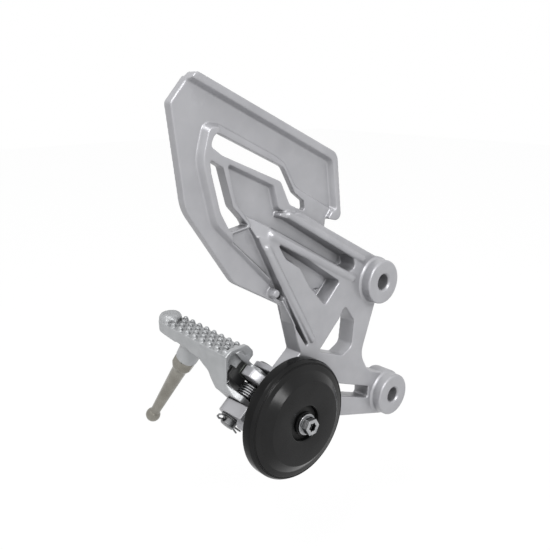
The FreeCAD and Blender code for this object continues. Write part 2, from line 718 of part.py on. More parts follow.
def damper_disc():
    radius, step, flat = size("damper_radius"), size("damper_step"), size("damper_face_radius")
    eye, face = size("damper_eye"), -size("damper_face")
    rim_face, rim_back = -size("damper_rim_front"), -size("damper_rim_front") - size("damper_rim")
    back, edge = -web_back, 0.8
    return turned_body("damper_disc", [
        (eye, back), (eye, face - 0.8), (eye + 0.8, face), (flat, face), (step, rim_face + 1.0),
        (radius - 1.4, rim_face), (radius, rim_face - 2.0), (radius, rim_back + edge),
        (radius - edge, rim_back), (step, rim_back), (flat - 1, back)])


def ring(name, inner, outer, start, end):
    profile = [(inner, start), (outer, start), (outer, end), (inner, end)]
    return stand(turned_body(name, profile), V(damper[0], 0, damper[1]), TO_FRAME)


def damper_pieces():
    centre = V(damper[0], 0, damper[1])
    eye = size("damper_eye")
    bush_front = -size("damper_face") - size("bush_recess")
    middle = (bush_front - web_back) / 2
    disc = stand(damper_disc(), centre, TO_FRAME)
    collar = eye + size("bush_collar")
    rear = turned_body("damper_bush_rear", [
        (sleeve_outer, -seat_y), (collar, -seat_y), (collar, -web_back), (eye, -web_back),
        (eye, middle), (sleeve_outer, middle)])
    stand(rear, centre, TO_FRAME)
    front = ring("damper_bush_front", sleeve_outer, eye, middle, bush_front)
    inner = size("bolt_diameter") / 2 + size("sleeve_gap")
    sleeve = ring("damper_sleeve", inner, sleeve_outer, -seat_y, -washer_back)
    plate = washer("damper_washer", "Sizes.washer_radius",
                   "Sizes.bolt_diameter / 2 + Sizes.sleeve_gap", "Sizes.washer_thickness")
    stand(plate, V(damper[0], washer_back, damper[1]), TO_FRAME)
    return [disc, rear, front, sleeve, plate, damper_bolt()]


def damper_bolt():
    body = doc.addObject("PartDesign::Body", "damper_bolt")
    body.Label = "damper_bolt"
    plane = [f for f in body.Origin.OriginFeatures if f.Role == "XY_Plane"][0]

    def pad(name, draw, length, down=False):
        sketch = body.newObject("Sketcher::SketchObject", name + "_sketch")
        sketch.AttachmentSupport = [(plane, "")]
        sketch.MapMode = "FlatFace"
        draw(sketch)
        feature = body.newObject("PartDesign::Pad", name)
        feature.Profile = sketch
        feature.setExpression("Length", length)
        feature.Reversed = down
        return feature

    def circle(radius):
        return lambda sketch: sketch.addGeometry(
            Part.Circle(V(0, 0, 0), V(0, 0, 1), radius), False)

    def hexagon(sketch):
        reach = size("bolt_hexagon") / math.sqrt(3)
        corners = [V(reach * math.cos(math.radians(60 * i)), reach * math.sin(math.radians(60 * i)), 0)
                   for i in range(6)]
        for one, two in zip(corners, corners[1:] + corners[:1]):
            sketch.addGeometry(Part.LineSegment(one, two), False)

    pad("bolt_flange_pad", circle(size("bolt_flange")), "Sizes.bolt_flange_thickness")
    pad("bolt_head_pad", hexagon, "Sizes.bolt_flange_thickness + Sizes.bolt_head")
    shank = pad("bolt_shank", circle(size("bolt_diameter") / 2),
                "Sizes.damper_seat - (Sizes.damper_face + 2 - Sizes.washer_thickness)"
                " + Sizes.bolt_grip", True)
    doc.recompute()
    socket = body.newObject("Sketcher::SketchObject", "bolt_socket_sketch")
    socket.AttachmentSupport = [(plane, "")]
    socket.MapMode = "FlatFace"
    star(socket)
    socket.AttachmentOffset = FreeCAD.Placement(
        V(0, 0, size("bolt_flange_thickness") + size("bolt_head")), FreeCAD.Rotation())
    cut = body.newObject("PartDesign::Pocket", "bolt_socket")
    cut.Profile = socket
    cut.setExpression("Length", "Sizes.bolt_socket_depth")
    body.Tip = cut
    return stand(body, V(damper[0], bolt_seat, damper[1]), TO_FRAME)


def star(sketch):
    """A six-pointed recess."""
    outer, inner = size("bolt_socket"), size("bolt_socket") * 0.72
    corners = []
    for i in range(12):
        radius = outer if i % 2 == 0 else inner
        turn = math.radians(30 * i)
        corners.append(V(radius * math.cos(turn), radius * math.sin(turn), 0))
    for one, two in zip(corners, corners[1:] + corners[:1]):
        sketch.addGeometry(Part.LineSegment(one, two), False)


# Hinge hardware

pin_end = -size("pin_tail")
washer_end = -size("ear_foot")
washer_start = washer_end - size("pin_washer_thickness")
cross_hole = washer_start - size("split_pin_place")


def hinge_pin():
    radius, length, chamfer = size("pin_diameter") / 2, upper_ear_end - pin_end, 0.8
    head = size("pin_head_radius")
    blank = turned_body("hinge_pin_blank", [
        (0, 0), (radius - chamfer, 0), (radius, chamfer), (radius, length), (head, length),
        (head, length + size("pin_head") - 0.4), (head - 0.4, length + size("pin_head")),
        (0, length + size("pin_head"))])
    hole = bound("Part::Cylinder", "hinge_pin_hole",
                 Radius="Sizes.split_pin_wire + Sizes.split_pin_gap",
                 Height="Sizes.pin_diameter * 2")
    # The hole runs square to the axis, up and down as the pin is fitted.
    hole.Placement = FreeCAD.Placement(
        V(-size("pin_diameter"), 0, cross_hole - pin_end), FreeCAD.Rotation(V(0, 1, 0), 90))
    pin = combine("Part::Cut", "hinge_pin", blank, hole)
    return set_on_hinge(pin, pin_end)


def set_on_hinge(item, start):
    """Own Z along the hinge axis, own X up from it."""
    turn = FreeCAD.Rotation(hinge_up, hinge_along.cross(hinge_up), hinge_along, "ZXY")
    item.Placement = FreeCAD.Placement(hinge + hinge_along * start, turn)
    return item


def pin_washer():
    item = washer("pin_washer", "Sizes.pin_head_radius + 0.8",
                  "Sizes.pin_diameter / 2 + Sizes.pin_clearance", "Sizes.pin_washer_thickness")
    return stand(item, hinge + hinge_along * washer_start, hinge_along)


def tube_along(points, radius):
    """A round wire through points, with a rounded bend at every inner point."""
    shapes = []
    for one, two in zip(points, points[1:]):
        shapes.append(Part.makeCylinder(radius, (two - one).Length, one, two - one))
    for point in points:
        shapes.append(Part.makeSphere(radius, point))
    return shapes[0].fuse(shapes[1:]).removeSplitter()


def split_pin():
    """One wire folded to an eye: both legs pass the hinge pin's hole and part a little."""
    wire, leg, eye = size("split_pin_wire"), size("split_pin_leg"), size("split_pin_eye")
    pin, beside = size("pin_diameter") / 2, wire * 0.52
    centre = hinge + hinge_along * cross_hole
    # The legs lie side by side, half along the hinge axis and half towards the frame.
    aside = (hinge_along + TO_FRAME).normalize()
    half = [(-leg, beside + 0.9), (-pin - 2.0, beside + 0.2), (-pin, beside), (pin - 0.4, beside),
            (pin + 1.4, beside + 0.5), (pin + 1.6 + eye * 0.6, eye), (pin + 1.8 + eye * 1.6, eye * 0.8)]
    route = half + [(pin + 1.8 + eye * 2, 0.0)] + [(up, -out) for up, out in reversed(half)]
    points = [centre + hinge_up * up + aside * out for up, out in route]
    return add_shape("split_pin", tube_along(points, wire / 2))


def return_spring():
    """Coils round the hinge pin, one leg on the lug and one on the peg's lower ear."""
    wire = size("spring_wire") / 2
    coil = size("spring_radius")
    length = size("lug_start") - peg_lower_end - 2 * gap - 2 * wire
    pitch = length / size("spring_turns")
    helix = Part.makeHelix(pitch, length, coil)
    section = Part.Wire(Part.makeCircle(wire, V(coil, 0, 0), V(0, 1, 0)))
    coils = Part.Wire(helix).makePipeShell([section], True, True)
    coils.Placement = FreeCAD.Placement(
        hinge + hinge_along * (peg_lower_end + gap + wire),
        FreeCAD.Rotation(V(0, 0, 1), hinge_along))
    return add_shape("return_spring", coils)


def stop_plate():
    """A thin folded sheet: one arm on the lug's outboard end, one under its lower side."""
    end = size("lug_end") - hinge.y
    sheet_thickness = size("stop_sheet")
    profile = [(end, size("lug_low"), 0.2), (end + sheet_thickness, size("lug_low"), 0.3),
               (end + sheet_thickness, size("lug_high") + 0.8, 0.3), (end, size("lug_high") + 0.8, 0.3)]
    return add_shape("stop_plate", hinge_prism(profile, size("lug_start") - 0.8, lug_end))


def feeler_pin():
    start = size("feeler_boss_length")
    collar_end = start + size("feeler_collar")
    reach = size("feeler_hexagon") / math.sqrt(3)
    corners = [V(reach * math.cos(math.radians(60 * i)), reach * math.sin(math.radians(60 * i)), start)
               for i in range(7)]
    collar = Part.Face(Part.makePolygon(corners)).extrude(V(0, 0, size("feeler_collar")))
    chamfer = Part.makeCone(reach * 1.3, reach * 0.8, size("feeler_collar"), V(0, 0, start))
    collar = collar.common(chamfer)
    taper = Part.makeCone(size("feeler_top_radius"), size("feeler_tip_radius"),
                          size("feeler_length") - collar_end, V(0, 0, collar_end))
    ball = Part.makeSphere(size("feeler_ball"), V(0, 0, size("feeler_length")))
    stud = Part.makeCylinder(size("feeler_thread"), size("feeler_thread_length"),
                             V(0, 0, start - size("feeler_thread_length")))
    shape = collar.fuse([taper, ball, stud]).removeSplitter()
    item = add_shape("feeler_pin", shape)
    return stand(item, feeler_base, feeler_axis)


parts = [add_shape("footrest_bracket", footrest_bracket()), add_shape("footpeg", footpeg())]
parts += damper_pieces()
parts += [hinge_pin(), pin_washer(), split_pin(), return_spring(), stop_plate(), feeler_pin()]
doc.recompute()

for item in doc.Objects:
    if "Invalid" in item.State or "Error" in item.State:
        raise RuntimeError("failed: " + item.Name)
os.makedirs("parts", exist_ok=True)
for part in parts:
    shape = part.Shape
    if shape.isNull() or not shape.isValid():
        raise RuntimeError("bad shape: " + part.Label)
    box = shape.BoundBox
    print(part.Label, len(shape.Solids), round(shape.Volume),
          [round(v, 1) for v in (box.XMin, box.YMin, box.ZMin, box.XMax, box.YMax, box.ZMax)])
    shape.exportStep("parts/" + part.Label + ".step")
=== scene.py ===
# %% [markdown]
# # The looks of a motorcycle footrest bracket
# The CAD parts of the bracket are already packed as a model with their real sizes and joints.
# This lesson loads them as a fixed frame and gives them the soft edges, paints and platings of
# the real object. A part whose shape is right keeps its CAD mesh. A part that needs rounder
# edges is copied, worked on and shown in place of the CAD part.

# %% Load the frame
import math

import bmesh
import bpy
from mathutils import Matrix, Vector


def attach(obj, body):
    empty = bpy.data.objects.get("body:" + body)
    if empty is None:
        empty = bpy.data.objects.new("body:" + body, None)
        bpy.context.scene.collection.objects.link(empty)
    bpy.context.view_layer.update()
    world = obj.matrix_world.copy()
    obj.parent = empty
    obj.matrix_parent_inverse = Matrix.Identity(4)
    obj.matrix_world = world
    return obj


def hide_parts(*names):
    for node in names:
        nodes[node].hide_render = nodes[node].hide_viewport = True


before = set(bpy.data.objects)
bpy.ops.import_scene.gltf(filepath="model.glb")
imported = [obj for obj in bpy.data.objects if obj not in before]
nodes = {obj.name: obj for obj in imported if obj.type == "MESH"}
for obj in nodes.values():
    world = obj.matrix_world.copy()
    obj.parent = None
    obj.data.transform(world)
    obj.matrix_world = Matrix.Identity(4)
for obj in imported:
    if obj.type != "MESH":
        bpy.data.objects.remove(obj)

MM = 0.001
scene = bpy.context.scene
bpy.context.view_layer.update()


# %% [markdown]
# ## The camera
# The picture was taken from the bracket's frame side, a little from behind and from above. Its
# long lens keeps the two round bosses nearly the same size. The place and the three directions
# were worked out from the bosses, the round weight and the tread.

# %% Camera
PICTURE_SIZE = 550
FOCAL_PIXELS = 700
camera_place = Vector((-0.3559, -0.2861, 0.1325))
camera_right = Vector((0.744, -0.669, 0.0))
camera_up = Vector((0.182, 0.202, 0.962))
camera_forward = Vector((0.644, 0.716, -0.272))

lens = bpy.data.cameras.new("long lens")
lens.sensor_width = 36
lens.lens = FOCAL_PIXELS / PICTURE_SIZE * lens.sensor_width
lens.clip_start = 0.01
camera = bpy.data.objects.new("camera", lens)
scene.collection.objects.link(camera)
turn = Matrix((camera_right, camera_up, -camera_forward)).transposed()
camera.matrix_world = Matrix.Translation(camera_place) @ turn.to_4x4()
scene.camera = camera
print("lens:", round(lens.lens, 1), "mm")

# %% [markdown]
# ## Studio: world, lamps and floor
# Product pictures like this are taken in a white tent, with one large lamp high on the left and
# one in front. The world is a soft grey light for the object, while the camera and the
# reflections see white. The floor does the same, so it looks white and still keeps a faint
# shadow. The lamp on the left comes in two parts. Reflections see only the weaker one, so that
# the castings' slanted facets don't glare.

# %% White for the camera and for reflections
scene.view_settings.view_transform = "Standard"


def seen_as_white(tree, share):
    """A node that is 1 where the camera, a reflection or clear glass sees the surface."""
    path = tree.nodes.new("ShaderNodeLightPath")
    total = path.outputs["Is Camera Ray"]
    for ray in ("Is Glossy Ray", "Is Transmission Ray"):
        add = tree.nodes.new("ShaderNodeMath")
        add.operation = "ADD"
        add.use_clamp = True
        tree.links.new(total, add.inputs[0])
        tree.links.new(path.outputs[ray], add.inputs[1])
        total = add.outputs[0]
    scale = tree.nodes.new("ShaderNodeMath")
    scale.operation = "MULTIPLY"
    scale.inputs[1].default_value = share
    tree.links.new(total, scale.inputs[0])
    return scale.outputs[0]


# %% World
SOFT_LIGHT_STRENGTH = 0.10
world = bpy.data.worlds.new("white tent")
scene.world = world
world.use_nodes = True
sky = world.node_tree
soft_light = sky.nodes["Background"]
soft_light.inputs["Color"].default_value = (0.96, 0.98, 1.0, 1)
soft_light.inputs["Strength"].default_value = SOFT_LIGHT_STRENGTH
white = sky.nodes.new("ShaderNodeBackground")
white.inputs["Color"].default_value = (1, 1, 1, 1)
white.inputs["Strength"].default_value = 1.0
choose = sky.nodes.new("ShaderNodeMixShader")
sky.links.new(seen_as_white(sky, 1.0), choose.inputs[0])
sky.links.new(soft_light.outputs[0], choose.inputs[1])
sky.links.new(white.outputs[0], choose.inputs[2])
sky.links.new(choose.outputs[0], sky.nodes["World Output"].inputs["Surface"])
print("soft light:", SOFT_LIGHT_STRENGTH)

# %% Lamps
object_middle = Vector((-0.06, 0.03, 0.01))
HIGH_LEFT = (-0.93, -0.28, 1.62)
FRONT = (-0.42, -1.50, 0.92)


def lamp(name, place, size, power):
    """A square lamp that looks at the object: its side in metres and its power in watts."""
    light = bpy.data.lights.new(name, "AREA")
    light.size = size
    light.energy = power
    holder = bpy.data.objects.new(name, light)
    scene.collection.objects.link(holder)
    aim = (object_middle - Vector(place)).to_track_quat("-Z", "Y")
    holder.matrix_world = Matrix.Translation(place) @ aim.to_matrix().to_4x4()
    return holder


softbox = lamp("high left softbox", HIGH_LEFT, size=0.55, power=8.0)
diffuser = lamp("high left diffuser", HIGH_LEFT, size=0.55, power=14.0)
diffuser.visible_glossy = False
front = lamp("front softbox", FRONT, size=0.7, power=19.0)
print("lamps:", [holder.name for holder in (softbox, diffuser, front)])

# %% Floor
FLOOR_HEIGHT = -0.19
FLOOR_REACH = 3.0
FLOOR_TONE = 0.6
FLOOR_GLOW = 1.06
WHITE_SHARE = 0.92
bm = bmesh.new()
bmesh.ops.create_grid(bm, x_segments=1, y_segments=1, size=FLOOR_REACH)
bmesh.ops.translate(bm, verts=bm.verts, vec=(0, 0, FLOOR_HEIGHT))
floor_mesh = bpy.data.meshes.new("floor")
bm.to_mesh(floor_mesh)
bm.free()
floor = bpy.data.objects.new("floor", floor_mesh)
scene.collection.objects.link(floor)
pale = bpy.data.materials.new("pale floor")
pale.use_nodes = True
tree = pale.node_tree
matt = tree.nodes["Principled BSDF"]
matt.inputs["Base Color"].default_value = (FLOOR_TONE, FLOOR_TONE, FLOOR_TONE, 1)
matt.inputs["Roughness"].default_value = 0.9
glow = tree.nodes.new("ShaderNodeEmission")
glow.inputs["Color"].default_value = (1, 1, 1, 1)
glow.inputs["Strength"].default_value = FLOOR_GLOW
mix = tree.nodes.new("ShaderNodeMixShader")
tree.links.new(seen_as_white(tree, WHITE_SHARE), mix.inputs[0])
tree.links.new(matt.outputs[0], mix.inputs[1])
tree.links.new(glow.outputs[0], mix.inputs[2])
tree.links.new(mix.outputs[0], tree.nodes["Material Output"].inputs["Surface"])
floor_mesh.materials.append(pale)
print("floor at", FLOOR_HEIGHT, "m")

# %% [markdown]
# ## Finishes
# Every finish here is a paint, a plating or a rubber, and each has something small going on: the
# fine grain of a casting under silver paint, the orange peel of black paint. Some also carry a
# painted shade in corners and pockets, and the peg a painted shade on the hollow wall round its
# spring. One helper makes the common part. It takes two tones that a soft noise mixes, a second
# noise for the roughness, and a fine noise as bump. The constants that are the same all over go
# straight to the shader's own sockets.

# %% Noises and ranges
def value_range(tree, source, low, high):
    """Moves a noise of about 0.3 to 0.7 into the range low to high."""
    stretch = tree.nodes.new("ShaderNodeMapRange")
    stretch.inputs["From Min"].default_value = 0.3
    stretch.inputs["From Max"].default_value = 0.7
    stretch.inputs["To Min"].default_value = low
    stretch.inputs["To Max"].default_value = high
    tree.links.new(source, stretch.inputs["Value"])
    return stretch.outputs["Result"]


def noise(tree, size_mm, detail=3.0):
    """A noise on Object coordinates whose blobs are about size_mm across."""
    place = tree.nodes.new("ShaderNodeTexCoord")
    pattern = tree.nodes.new("ShaderNodeTexNoise")
    pattern.inputs["Scale"].default_value = 1 / (size_mm * MM)
    pattern.inputs["Detail"].default_value = detail
    tree.links.new(place.outputs["Object"], pattern.inputs["Vector"])
    return pattern.outputs["Fac"]


# %% Colours and bump
def tones(tree, factor, dark, light):
    """A colour between dark and light, by a factor from 0 to 1."""
    mix = tree.nodes.new("ShaderNodeMix")
    mix.data_type = "RGBA"
    tree.links.new(factor, mix.inputs["Factor"])
    mix.inputs["A"].default_value = (*dark, 1)
    mix.inputs["B"].default_value = (*light, 1)
    return mix.outputs["Result"]


def bump(tree, height, depth_mm):
    """Small dents and rises from a noise, depth_mm from its lowest to its highest value."""
    node = tree.nodes.new("ShaderNodeBump")
    node.inputs["Strength"].default_value = 1.0
    node.inputs["Distance"].default_value = depth_mm * MM
    tree.links.new(height, node.inputs["Height"])
    return node.outputs["Normal"]


def multiplied(tree, colour, factor):
    """The colour times a factor, which makes it darker where the factor is below 1."""
    mix = tree.nodes.new("ShaderNodeMix")
    mix.data_type = "RGBA"
    mix.blend_type = "MULTIPLY"
    mix.inputs["Factor"].default_value = 1.0
    tree.links.new(colour, mix.inputs["A"])
    tree.links.new(factor, mix.inputs["B"])
    return mix.outputs["Result"]


# %% Painted shade in corners and marked places
SHADE_FULL = 0.3
SHADE_NONE = 0.95


def corner_shade(tree, reach_mm, darkest):
    """A painted shade: 1 in the open, down to darkest deep in a pocket or where two walls meet."""
    hidden = tree.nodes.new("ShaderNodeAmbientOcclusion")
    hidden.samples = 8
    hidden.inputs["Distance"].default_value = reach_mm * MM
    level = tree.nodes.new("ShaderNodeMapRange")
    level.inputs["From Min"].default_value = SHADE_FULL
    level.inputs["From Max"].default_value = SHADE_NONE
    level.inputs["To Min"].default_value = darkest
    tree.links.new(hidden.outputs["AO"], level.inputs["Value"])
    return level.outputs["Result"]


def marked_darker(tree, mark, darkest):
    """1 where the mesh's own mark is 0, down to darkest where it is 1."""
    found = tree.nodes.new("ShaderNodeAttribute")
    found.attribute_name = mark
    return value_range(tree, found.outputs["Fac"], 1.0, darkest)


# %% One finish from these
SHINE = "Specular IOR Level"
SMUDGE_SHARE = 0.4


def finish(name, dark, light, metallic, rough, patch_mm=14.0, grain_mm=0.5, grain_depth_mm=0.02,
           painted_shade=None, pocket_shade=None):
    """A paint or plating with two close tones, a varied roughness and a fine grain.

    rough is the lowest and the highest roughness, in smudges smaller than the tones' patches.
    The second last argument is the reach in mm and the darkest share of the painted shade in
    corners, and the last is the name of the mark and the darkest share of marked_darker, a
    painted shade too."""
    material = bpy.data.materials.new(name)
    material.use_nodes = True
    tree = material.node_tree
    shader = tree.nodes["Principled BSDF"]
    shader.inputs["Metallic"].default_value = metallic
    patches = value_range(tree, noise(tree, patch_mm), 0.0, 1.0)
    colour = tones(tree, patches, dark, light)
    # Darker in corners and pockets: a painted shade.
    if painted_shade is not None:
        colour = multiplied(tree, colour, corner_shade(tree, *painted_shade))
    # Darker where the mesh is marked: a painted shade on the hollow wall of the peg's pocket.
    if pocket_shade is not None:
        colour = multiplied(tree, colour, marked_darker(tree, *pocket_shade))
    tree.links.new(colour, shader.inputs["Base Color"])
    smudges = value_range(tree, noise(tree, patch_mm * SMUDGE_SHARE, detail=5.0), *rough)
    tree.links.new(smudges, shader.inputs["Roughness"])
    grain = noise(tree, grain_mm, detail=2.0)
    tree.links.new(bump(tree, grain, grain_depth_mm), shader.inputs["Normal"])
    return material


def duller_sides(material, side, face):
    """Less shine where the surface looks away from the disc's axis than on its flat faces."""
    tree = material.node_tree
    surface = tree.nodes.new("ShaderNodeNewGeometry")
    parts = tree.nodes.new("ShaderNodeSeparateXYZ")
    along = tree.nodes.new("ShaderNodeMath")
    along.operation = "ABSOLUTE"
    tree.links.new(surface.outputs["True Normal"], parts.inputs["Vector"])
    tree.links.new(parts.outputs["Y"], along.inputs[0])
    shine = value_range(tree, along.outputs["Value"], side, face)
    tree.links.new(shine, tree.nodes["Principled BSDF"].inputs[SHINE])


# %% The paints
# The casting's and the peg's paints get a painted shade in their corners and pockets.
silver_paint = finish("silver paint on casting", (0.41, 0.41, 0.43), (0.46, 0.46, 0.48),
                      metallic=0.4, rough=(0.33, 0.43), painted_shade=(12.0, 0.58))
# The peg's paint darkens the marked wall of its pocket: a painted shade.
peg_paint = finish("silver paint on peg", (0.42, 0.43, 0.44), (0.48, 0.49, 0.50),
                   metallic=0.45, rough=(0.34, 0.44), patch_mm=7.0, painted_shade=(8.0, 0.3),
                   pocket_shade=("pocket_shade", 0.1))
black_paint = finish("black satin paint", (0.008, 0.008, 0.0082), (0.013, 0.013, 0.0133),
                     metallic=0.0, rough=(0.17, 0.24), grain_mm=0.9, grain_depth_mm=0.003)
duller_sides(black_paint, side=0.07, face=0.19)
print("paints:", [m.name for m in (silver_paint, peg_paint, black_paint)])

# %% The platings, the steel and the rubber
RUBBER_SHINE = 0.3
# The platings get a painted shade in their corners too, darkest in the bolt's star recess.
zinc = finish("bright zinc plating", (0.34, 0.35, 0.36), (0.50, 0.50, 0.51), metallic=1.0,
              rough=(0.18, 0.32), patch_mm=3.0, grain_mm=0.3, grain_depth_mm=0.006,
              painted_shade=(3.0, 0.2))
bolt_zinc = finish("zinc on the bolt", (0.32, 0.33, 0.34), (0.48, 0.48, 0.49), metallic=1.0,
                   rough=(0.18, 0.30), patch_mm=3.0, grain_mm=0.3, grain_depth_mm=0.006,
                   painted_shade=(5.0, 0.03))
worn_zinc = finish("worn zinc plating", (0.16, 0.165, 0.17), (0.26, 0.26, 0.265), metallic=0.9,
                   rough=(0.38, 0.50), patch_mm=3.0, grain_mm=0.3, grain_depth_mm=0.008,
                   painted_shade=(4.0, 0.15))
dark_zinc = finish("olive zinc plating", (0.05, 0.055, 0.05), (0.085, 0.09, 0.08),
                   metallic=0.7, rough=(0.25, 0.4), patch_mm=4.0, grain_mm=0.3,
                   grain_depth_mm=0.006)
dull_steel = finish("dull turned steel", (0.22, 0.21, 0.185), (0.29, 0.28, 0.25),
                    metallic=0.95, rough=(0.24, 0.36), patch_mm=9.0, grain_mm=0.35,
                    grain_depth_mm=0.012)
black_rubber = finish("black rubber", (0.008, 0.008, 0.008), (0.014, 0.014, 0.014),
                      metallic=0.0, rough=(0.5, 0.65), patch_mm=4.0, grain_mm=0.3,
                      grain_depth_mm=0.01)
black_rubber.node_tree.nodes["Principled BSDF"].inputs[SHINE].default_value = RUBBER_SHINE
bare = (zinc, bolt_zinc, worn_zinc, dark_zinc, dull_steel, black_rubber)
print("platings, steel and rubber:", [m.name for m in bare])

# %% [markdown]
# ## CAD nodes that keep their mesh
# The small turned parts and the wound spring already have the right shape. Only their material
# slots change.

# %% Materials on the CAD nodes
node_finish = {
    "damper_bush_rear": black_rubber,
    "damper_sleeve": zinc,
    "damper_washer": black_paint,
    "return_spring": zinc,
    "split_pin": worn_zinc,
}
for name, material in node_finish.items():
    mesh = nodes[name].data
    mesh.materials.clear()
    mesh.materials.append(material)
print("CAD nodes with a finish:", len(node_finish))

# %% [markdown]
# ## Castings with soft edges
# A die casting has no sharp edge, except where it was machined. A bevel on every CAD edge would
# be fragile, because the triangles of a CAD mesh are long and thin. Instead, a copy of the part
# gets an even skin of small squares with a voxel remesh, and smoothing that skin rounds every
# edge and every inner corner by about the same amount, as paint on a casting does.

# %% Pieces, and meshes that are opened and closed
SAME_POINT = 0.001 * MM


def add_piece(name, mesh, material, body):
    """Links a finished mesh as a piece with its finish and the body it moves with."""
    mesh.materials.clear()
    mesh.materials.append(material)
    piece = bpy.data.objects.new(name, mesh)
    scene.collection.objects.link(piece)
    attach(piece, body)
    return piece


def opened(mesh):
    """A new bmesh with the mesh's points and faces, ready for changes."""
    bm = bmesh.new()
    bm.from_mesh(mesh)
    return bm


def closed(bm, mesh):
    """Writes the bmesh back to the mesh and frees it."""
    bm.to_mesh(mesh)
    bm.free()
    return mesh


def merged_copy(node):
    """The mesh of a CAD node with its loose triangles joined, as a new mesh."""
    bm = opened(nodes[node].data)
    bmesh.ops.remove_doubles(bm, verts=bm.verts, dist=SAME_POINT)
    return closed(bm, bpy.data.meshes.new(node + "_copy"))


# %% Even skins, and fewer faces
def evaluated(mesh, add_modifiers):
    """The mesh after the modifiers that add_modifiers puts on a helper object."""
    helper = bpy.data.objects.new("helper", mesh)
    scene.collection.objects.link(helper)
    add_modifiers(helper.modifiers)
    depsgraph = bpy.context.evaluated_depsgraph_get()
    made = bpy.data.meshes.new_from_object(helper.evaluated_get(depsgraph))
    bpy.data.objects.remove(helper)
    return made


def even_skin(mesh, cell_mm):
    """The closed skin of all that the mesh holds, in squares of cell_mm."""
    def modifiers(stack):
        remesh = stack.new("even squares", "REMESH")
        remesh.mode = "VOXEL"
        remesh.voxel_size = cell_mm * MM
    return evaluated(mesh, modifiers)


def thinned(mesh, triangles):
    """The mesh with its flat stretches made of larger faces, down to a number of triangles."""
    def modifiers(stack):
        thin = stack.new("fewer faces", "DECIMATE")
        thin.ratio = min(1.0, triangles / (2 * len(mesh.polygons)))
    return evaluated(mesh, modifiers)


# %% Rounder edges, all over or in one place
def soften(bm, verts, passes):
    """Moves each point halfway to the middle of its neighbours, once a pass."""
    for _ in range(passes):
        bmesh.ops.smooth_vert(bm, verts=verts, factor=0.5, use_axis_x=True, use_axis_y=True,
                              use_axis_z=True)


def melt(bm, middle, reach_mm, passes):
    """Lets the shapes inside a ball flow into each other, like a large fillet."""
    inside = [v for v in bm.verts if (v.co - middle * MM).length < reach_mm * MM]
    soften(bm, inside, passes)
    print("points melted:", len(inside))


# %% Where the castings were machined
HINGE = Vector((-106.4, 31.0, -74.3)) * MM
HINGE_TILT = math.radians(40)
hinge_along = Vector((math.cos(HINGE_TILT), 0, math.sin(HINGE_TILT)))
# What lies between these two distances from the hinge's axis is the bore's wall.
PIN_CORE = 3.0 * MM
PIN_BORE = 5.2 * MM
BOSSES = (Vector((0, 0, 0)), Vector((16.0, 0, -87.5)) * MM)
MACHINED_RADIUS = 15.4 * MM
OUTBOARD = Vector((0, 1, 0))


def from_line(point, base, direction):
    """The part of point that stands off the line, as a vector."""
    offset = point - base
    return offset - direction * offset.dot(direction)


def open_pin_bore(bm):
    """Pushes the skin out of the hinge pin's way."""
    moved = 0
    for vert in bm.verts:
        off = from_line(vert.co, HINGE, hinge_along)
        if PIN_CORE < off.length < PIN_BORE:
            vert.co += off.normalized() * (PIN_BORE - off.length)
            moved += 1
    return moved


def near_a_bore(point):
    """True on the turned faces round the two mounting bores, which stay crisp."""
    return any(from_line(point, boss, OUTBOARD).length < MACHINED_RADIUS for boss in BOSSES)


# %% [markdown]
# ## Round beads and a ridge
# The real casting has thick round beads along its struts, which catch the light as bright lines.
# The CAD part has them a little low. A capsule laid along each one makes it fuller: the voxel
# remesh that follows melts the capsule and the part into one skin. In the same way a wedge makes
# the ridge beside the long groove run on up to the heel guard, and another one makes the groove
# shallower on its way up.

# %% Beads along the struts
# Start and end in X and Z, radius and height above the plate, all in mm.
STRUT_BEADS = [
    ((-93.0, 44.3), (-22.6, 5.6), 2.9, 1.7),
    ((-97.0, 37.4), (-59.6, -27.6), 2.6, 1.7),
    ((-80.0, 55.0), (-13.2, 16.4), 2.4, 1.4),
]
PLATE_FRONT = 8.0
ROUND_STEPS = 32


def capsule(bm, start, end, radius):
    """Adds a round bar with round ends from start to end."""
    run = end - start
    turn = run.to_track_quat("Z", "Y").to_matrix().to_4x4()
    middle = Matrix.Translation((start + end) / 2) @ turn
    bmesh.ops.create_cone(bm, cap_ends=True, segments=ROUND_STEPS, radius1=radius,
                          radius2=radius, depth=run.length, matrix=middle)
    for point in (start, end):
        bmesh.ops.create_uvsphere(bm, u_segments=ROUND_STEPS, v_segments=ROUND_STEPS // 2,
                                  radius=radius, matrix=Matrix.Translation(point))


# %% Wedges
# Each wedge has two ends, and each end a place in X and Z, its top's level and width and its
# foot's level and width, all in mm.
WEDGES = {
    "ridge": [((-74.6, -15.8), (8.2, 0.9), (19.5, 3.6)),
              ((-85.4, 3.1), (8.2, 0.9), (12.5, 3.6))],
    "groove floor": [((-72.0, -20.3), (13.0, 3.5), (19.0, 4.5)),
                     ((-85.2, 2.8), (9.8, 8.0), (13.0, 8.0))],
}


def add_wedge(bm, ends):
    """Adds a long block that runs from end to end and widens to the right of its line."""
    (x1, z1), (x2, z2) = ends[0][0], ends[1][0]
    across = Vector((z2 - z1, 0, x1 - x2)).normalized()
    corners = []
    for (x, z), top, foot in ends:
        for level, width in (top, foot):
            edge = Vector((x, level, z))
            corners += [edge * MM, (edge + across * width) * MM]
    bmesh.ops.convex_hull(bm, input=[bm.verts.new(corner) for corner in corners])


# %% Beads and wedges on the copy
def with_beads(mesh):
    """The mesh with the wedges and the beads laid into it as closed shapes of their own."""
    bm = opened(mesh)
    for ends in WEDGES.values():
        add_wedge(bm, ends)
    for (x1, z1), (x2, z2), radius, height in STRUT_BEADS:
        level = PLATE_FRONT + radius - height
        capsule(bm, Vector((x1, level, z1)) * MM, Vector((x2, level, z2)) * MM, radius * MM)
    return closed(bm, mesh)


# %% [markdown]
# ## Marks that the casting die leaves
# The die's ejector pins push the hot casting out and leave faint round marks on the tray's floor.
# They are too shallow for the CAD part. Here the skin's own points are moved by a few hundredths
# of a millimetre: a disc that is sunk, with a raised burr round it.

